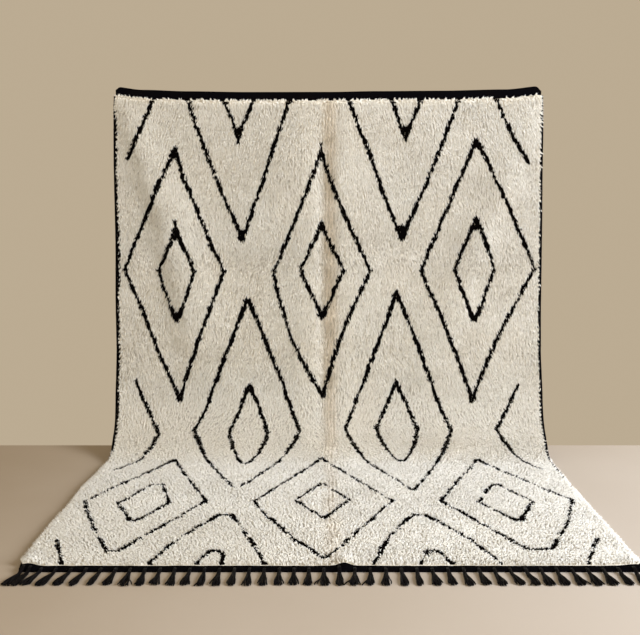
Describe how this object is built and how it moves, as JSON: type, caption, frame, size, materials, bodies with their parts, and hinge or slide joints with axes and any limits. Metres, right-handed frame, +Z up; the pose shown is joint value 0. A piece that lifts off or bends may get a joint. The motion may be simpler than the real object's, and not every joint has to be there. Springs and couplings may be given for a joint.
{
  "type": "beni ourain rug",
  "caption": "Shaggy ivory wool rug with a black diamond lattice, hung by its top edge and swept forward over the floor, with a tasselled foot.",
  "frame": {"origin": "on the wall side, 4.5 mm below the top edge at its middle, where it is held", "axes": "+X along the top edge, the longest side; +Y into the wall; +Z up"},
  "size_m": [2.05, 1.6878, 1.7129],
  "materials": {
    "ivory_pile": "matte shaggy wool",
    "black_flatweave": "matte flat-woven wool",
    "black_tassel": "matte wool yarn"
  },
  "bodies": {
    "root": {"pile_field": "ivory_pile", "head_band": "black_flatweave", "foot_fringe": "black_tassel", "selvedge_left": "black_flatweave", "selvedge_right": "black_flatweave"}
  },
  "joints": []
}
